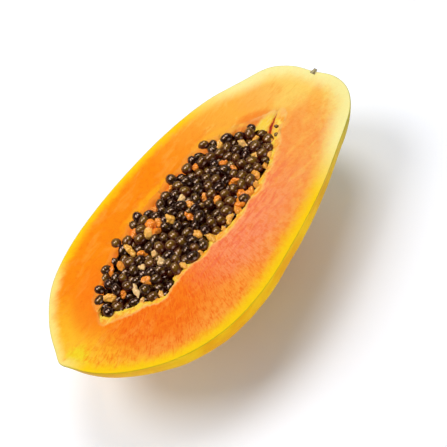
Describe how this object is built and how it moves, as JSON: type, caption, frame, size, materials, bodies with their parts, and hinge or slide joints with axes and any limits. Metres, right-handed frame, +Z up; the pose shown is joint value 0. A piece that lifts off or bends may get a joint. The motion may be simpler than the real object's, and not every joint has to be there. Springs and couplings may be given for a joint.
{
  "type": "papaya half",
  "caption": "Half of a ripe papaya cut lengthwise, resting on its skin, with the cut face and its seed-filled cavity up.",
  "frame": {"origin": "middle of the bounding box on the surface that the fruit rests on", "axes": "+X towards the stem end along the fruit's length, +Y towards the side with the thinner flesh, +Z up, square to the cut face"},
  "size_m": [0.2103, 0.106, 0.0529],
  "materials": {
    "flesh": "moist orange fruit flesh, salmon beside the cavity and yellow towards the skin",
    "skin": "smooth waxy golden skin, a little green at the stem end",
    "seeds": "wet dark brown seeds in clear gel skins",
    "pulp": "soft torn orange and yellow pulp",
    "dry_stem": "dry olive-brown stem scar"
  },
  "bodies": {
    "root": {"papaya_half": "flesh", "seed_mass": "seeds", "stem_stub": "dry_stem"}
  },
  "joints": []
}
